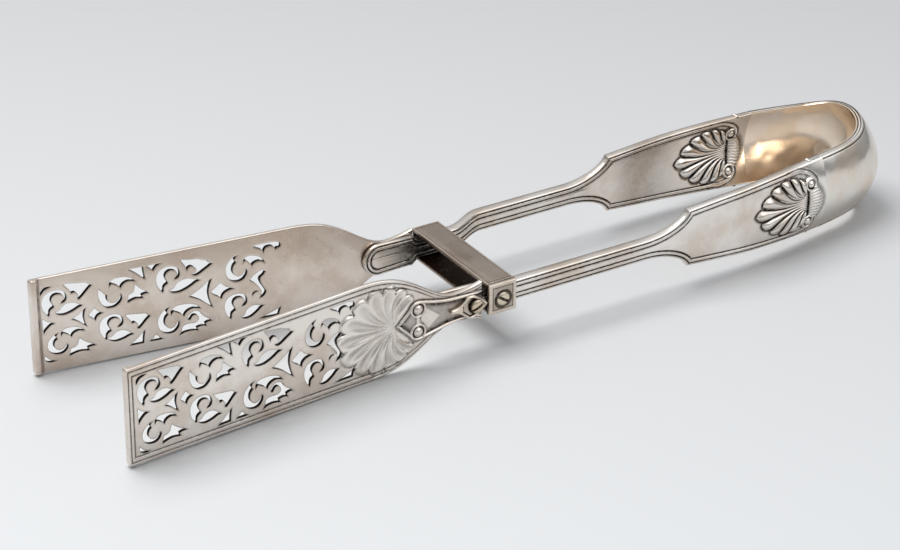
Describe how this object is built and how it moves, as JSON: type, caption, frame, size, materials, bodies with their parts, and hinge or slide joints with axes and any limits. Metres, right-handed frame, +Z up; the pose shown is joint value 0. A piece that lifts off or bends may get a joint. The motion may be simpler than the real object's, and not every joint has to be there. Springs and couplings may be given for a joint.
{
  "type": "asparagus tongs",
  "caption": "Sprung silver serving tongs: dished bow, shouldered arms held in a guide, and broad pierced blades with shell ornament.",
  "frame": {"origin": "middle of the outer box, on the surface that the tongs stand on, with their middle plane level", "axes": "+X from the blade tips to the crown of the bow, +Y from the arm that carries the guide to the other arm, +Z up across the blades' width"},
  "size_m": [0.262, 0.0584, 0.03],
  "materials": {
    "polished_silver": "polished silver with dark patina in the grooves",
    "blade_silver": "polished silver, pierced and lightly worn",
    "aged_silver": "dull aged silver with a brownish tarnish",
    "screw_silver": "satin silver with tarnish round the recesses"
  },
  "bodies": {
    "near_side": {"bow": "polished_silver", "near_arm": "polished_silver", "near_blade": "blade_silver", "near_leaf_plate": "screw_silver", "near_tang_screw": "screw_silver", "guide_top_plate": "aged_silver", "guide_bottom_plate": "aged_silver", "guide_near_end": "screw_silver", "guide_far_end": "aged_silver", "guide_screw": "screw_silver"},
    "far_side": {"far_arm": "polished_silver", "far_blade": "blade_silver", "far_leaf_plate": "screw_silver", "far_tang_screw": "screw_silver"}
  },
  "joints": [
    {"name": "squeeze", "type": "hinge", "parent": "near_side", "child": "far_side", "pos_m": [0.11606, 0, 0.015], "axis": [0, 0, 1], "range_deg": [0, 11.5], "stiffness_Nm_per_rad": 6, "deforming": ["bow"]}
  ]
}
